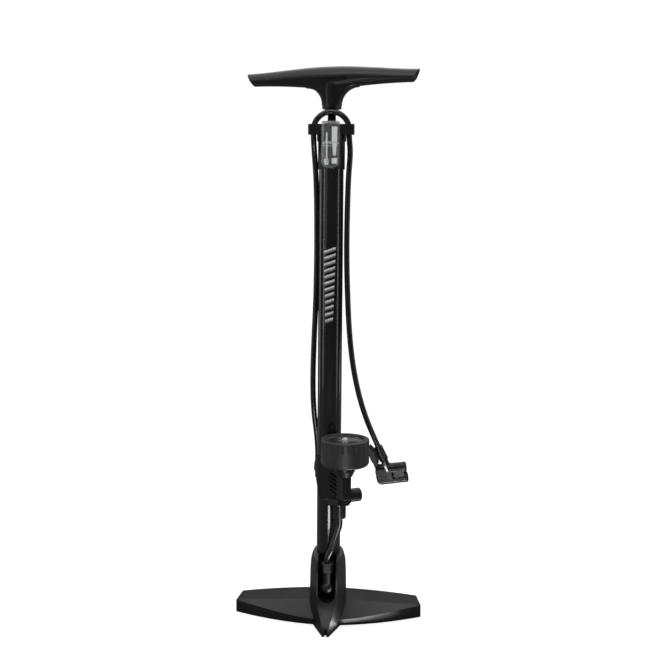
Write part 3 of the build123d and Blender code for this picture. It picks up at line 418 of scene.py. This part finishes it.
def make_dial_ticks():
    """The scale's ticks, printed on the dial."""
    sheet = bmesh.new()
    for i in range(DIAL_FULL * DIAL_PARTS + 1):
        turn = DIAL_SWEEP * i / (DIAL_FULL * DIAL_PARTS)
        inner, half = SHORT_TICK if i % DIAL_PARTS else LONG_TICK
        foot = half * 18 / inner
        corners = ((turn - foot, inner), (turn + foot, inner),
                   (turn + half, TICK_OUT), (turn - half, TICK_OUT))
        add_bar(sheet, [
            [sheet.verts.new(on_dial(t, r, z)) for t, r in corners]
            for z in (DIAL_TOP - 0.02, DIAL_TOP + 0.04)
        ])
    add_piece("dial_ticks", sheet, "black_plastic")


def make_dial_numbers():
    """The scale's numbers, upright for someone who stands behind the pump."""
    numbers = bmesh.new()
    upright = Matrix.Rotation(GAUGE_YAW + math.pi, 4, "Z")
    for value in range(DIAL_FULL + 1):
        text = bpy.data.curves.new("number", "FONT")
        text.body = str(value)
        text.size = NUMBER_SIZE * MM
        text.extrude = 0.03 * MM
        text.align_x = "CENTER"
        text.align_y = "CENTER"
        text.resolution_u = 3
        holder = bpy.data.objects.new("number", text)
        shape = bpy.data.meshes.new_from_object(holder)
        place = on_dial(DIAL_SWEEP * value / DIAL_FULL, NUMBER_RING, DIAL_TOP)
        shape.transform(Matrix.Translation(place) @ upright)
        numbers.from_mesh(shape)
        bpy.data.objects.remove(holder)
        bpy.data.meshes.remove(shape)
        bpy.data.curves.remove(text)
    add_piece("dial_numbers", numbers, "black_plastic")


# Outline of the domed knob on the gauge's lens, as radius and height, and its top
KNOB_PROFILE = [(3.3, 224.5), (3.4, 225.2), (3.1, 225.9), (2.4, 226.5), (1.3, 226.9)]
KNOB_TOP = 227.05
KNOB_STEPS = 28


def make_lens_knob():
    """Small domed knob in the middle of the gauge's lens."""
    sheet = bmesh.new()
    middle = on_dial(0.0, 0.0, 0.0)
    angles = [2 * math.pi * i / KNOB_STEPS for i in range(KNOB_STEPS)]
    rings = [
        [sheet.verts.new(middle + Vector((r * math.cos(a), r * math.sin(a), z)) * MM)
         for a in angles]
        for r, z in KNOB_PROFILE
    ]
    join_rings(sheet, rings)
    sheet.faces.new(list(reversed(rings[0])))
    top = sheet.verts.new(middle + Vector((0, 0, KNOB_TOP)) * MM)
    for i in range(KNOB_STEPS):
        sheet.faces.new((rings[-1][i], rings[-1][(i + 1) % KNOB_STEPS], top))
    add_piece("lens_knob", sheet, "white_plastic", smooth=True)


def collar_frame():
    """The foot of the hose's collar: Z up the hose, -Y towards the head's front face."""
    (x0, _, z0), (x1, out, z1) = HOSE_DOWN[-2:]
    lean = math.atan2(x1 - x0, z0 - z1)
    return (Matrix.Rotation(HEAD_YAW, 4, "Z") @ Matrix.Translation(Vector((x1, -out, z1)) * MM)
            @ Matrix.Rotation(-lean, 4, "Y") @ Matrix.Translation((0, 0, -COLLAR_LENGTH * MM))
            @ Matrix.Rotation(-HEAD_TWIST, 4, "Z"))


# The clip's middle line in collar_frame: y and z
CLIP_PATH = [
    (-3.9, -0.9), (-5.3, -1.6), (-6.5, -3.0), (-7.0, -5.0), (-7.05, -8.0), (-7.0, -11.0),
    (-6.75, -12.6),
]
CLIP_HALF, CLIP_TIP_HALF = 1.5, 0.9   # half widths
CLIP_THICK = 0.9


def make_head_clip():
    """Bright spring tongue from the collar's foot, over the edge and down the head's face."""
    place = collar_frame()
    last = len(CLIP_PATH) - 1
    sheet = bmesh.new()
    rings = []
    for i, (y, z) in enumerate(CLIP_PATH):
        before, after = CLIP_PATH[max(i - 1, 0)], CLIP_PATH[min(i + 1, last)]
        along = Vector((after[0] - before[0], after[1] - before[1])).normalized()
        out = Vector((along.y, -along.x)) * CLIP_THICK / 2
        half = CLIP_HALF if i < last else CLIP_TIP_HALF
        ring = []
        for x, k in ((-half, -1), (-half * 0.8, 1), (half * 0.8, 1), (half, -1)):
            spot = Vector((x, y - k * abs(out.x), z + k * out.y)) * MM
            ring.append(sheet.verts.new(place @ spot))
        rings.append(ring)
    add_bar(sheet, rings)
    add_piece("head_clip", sheet, "bright_steel")


# ---------------------------------------------------------------- stage
WHITE = (1, 1, 1, 1)
FLOOR_HALF, FLOOR_Z = 20.0, -0.0002
FADE_START, FADE_END = 0.3, 1.2    # the floor fades to white between these distances
FLOOR_GLOW, FLOOR_BOUNCE = 0.60, 0.20
WORLD_SEEN, WORLD_CAST = 1.05, 0.10
SEEN_THROUGH = 0.4                 # how much of the white shows through clear plastic


def area_light(name, place, aim, size, power, glossy_only=False):
    """A rectangle of light that the camera doesn't see."""
    data = bpy.data.lights.new(name, "AREA")
    data.shape = "RECTANGLE"
    data.size, data.size_y = size
    data.energy = power
    light = bpy.data.objects.new(name, data)
    light.location = place
    light.rotation_euler = (Vector(place) - Vector(aim)).to_track_quat("Z", "Y").to_euler()
    light.visible_camera = False
    light.visible_diffuse = not glossy_only
    bpy.context.scene.collection.objects.link(light)


def looking(tree):
    """1 for the camera's own rays, SEEN_THROUGH for those through clear plastic, else 0."""
    rays = tree.nodes.new("ShaderNodeLightPath")
    through = tree.nodes.new("ShaderNodeMath")
    through.operation = "MULTIPLY"
    through.inputs[1].default_value = SEEN_THROUGH
    tree.links.new(rays.outputs["Is Transmission Ray"], through.inputs[0])
    either = tree.nodes.new("ShaderNodeMath")
    either.operation = "MAXIMUM"
    tree.links.new(rays.outputs["Is Camera Ray"], either.inputs[0])
    tree.links.new(through.outputs[0], either.inputs[1])
    return either.outputs[0]


def make_floor():
    """A pale floor that fades into the white background, so that no horizon shows."""
    mesh = bpy.data.meshes.new("floor")
    sheet = bmesh.new()
    bmesh.ops.create_grid(sheet, x_segments=8, y_segments=8, size=FLOOR_HALF)
    sheet.to_mesh(mesh)
    sheet.free()
    floor = bpy.data.objects.new("floor", mesh)
    floor.location.z = FLOOR_Z
    bpy.context.scene.collection.objects.link(floor)
    s = Shader("pale_floor")
    pale = s.tones(s.noise(3.0), grey(0.86), grey(0.9))
    lit = s.add("ShaderNodeBsdfDiffuse", {"Color": pale})
    glow = s.add("ShaderNodeEmission", {"Color": WHITE, "Strength": FLOOR_GLOW})
    near = s.add("ShaderNodeAddShader", {0: lit.outputs[0], 1: glow.outputs[0]})
    far = s.add("ShaderNodeEmission", {"Color": WHITE, "Strength": WORLD_SEEN})
    away = s.add("ShaderNodeVectorMath", {0: s.place}, operation="LENGTH").outputs["Value"]
    fade = s.span(away, 0.0, 1.0, FADE_START, FADE_END)
    seen = s.add("ShaderNodeMixShader", {0: fade, 1: near.outputs[0], 2: far.outputs[0]})
    cast = s.add("ShaderNodeBsdfDiffuse", {"Color": (*grey(FLOOR_BOUNCE), 1)})
    whole = s.add("ShaderNodeMixShader", {
        0: looking(s.tree), 1: cast.outputs[0], 2: seen.outputs[0]})
    s.tree.links.new(whole.outputs[0], s.tree.nodes["Material Output"].inputs["Surface"])
    mesh.materials.append(s.mat)


def make_world():
    """White behind the object, partly also through clear plastic, and dim for the rest."""
    world = bpy.data.worlds.new("studio")
    world.use_nodes = True
    bpy.context.scene.world = world
    tree = world.node_tree
    shown = tree.nodes["Background"]
    cast = tree.nodes.new("ShaderNodeBackground")
    for node, strength in ((shown, WORLD_SEEN), (cast, WORLD_CAST)):
        node.inputs["Color"].default_value = WHITE
        node.inputs["Strength"].default_value = strength
    blend = tree.nodes.new("ShaderNodeMixShader")
    tree.links.new(looking(tree), blend.inputs[0])
    tree.links.new(cast.outputs[0], blend.inputs[1])
    tree.links.new(shown.outputs[0], blend.inputs[2])
    tree.links.new(blend.outputs[0], tree.nodes["World Output"].inputs["Surface"])
    bpy.context.scene.view_settings.view_transform = "Standard"


def make_stage():
    """Floor, world and lights. The last four lights only make gleams."""
    make_floor()
    make_world()
    area_light("top", (0.1, -0.1, 2.6), (0, 0, 0), (3.4, 3.4), 42)
    area_light("back_top", (0.0, 1.7, 1.9), (0, 0, 0.1), (2.6, 1.0), 16)
    area_light("front_top", (-0.25, -1.5, 2.1), (0, 0, 0.4), (1.8, 0.8), 7.5)
    area_light("left_rim", (-1.25, 0.55, 0.5), (0, 0, 0.4), (0.35, 1.8), 2.2)
    area_light("right_rim", (1.25, 0.55, 0.5), (0, 0, 0.4), (0.35, 1.8), 2.2)
    area_light("front_left", (-1.2, -1.0, 0.9), (0, 0, 0.35), (0.8, 1.6), 1.6)
    area_light("low_front", (0.04, -0.46, 0.004), (0.04, -0.46, 1.0), (0.10, 0.30), 1.3, True)
    area_light("low_right", (0.06, -0.062, 0.002), (0.06, -0.062, 1.0), (0.08, 0.06), 0.15, True)
    area_light("strip_left", (-1.4, -0.62, 0.45), (0, 0, 0.4), (0.10, 1.1), 1.4, True)
    area_light("strip_right", (1.3, -0.35, 0.45), (0, 0, 0.4), (0.12, 1.1), 1.3, True)


make_camera()
make_main_hose()
dress_nodes()
make_barrel_graphic()
make_dial_ticks()
make_dial_numbers()
make_lens_knob()
make_head_clip()
make_stage()
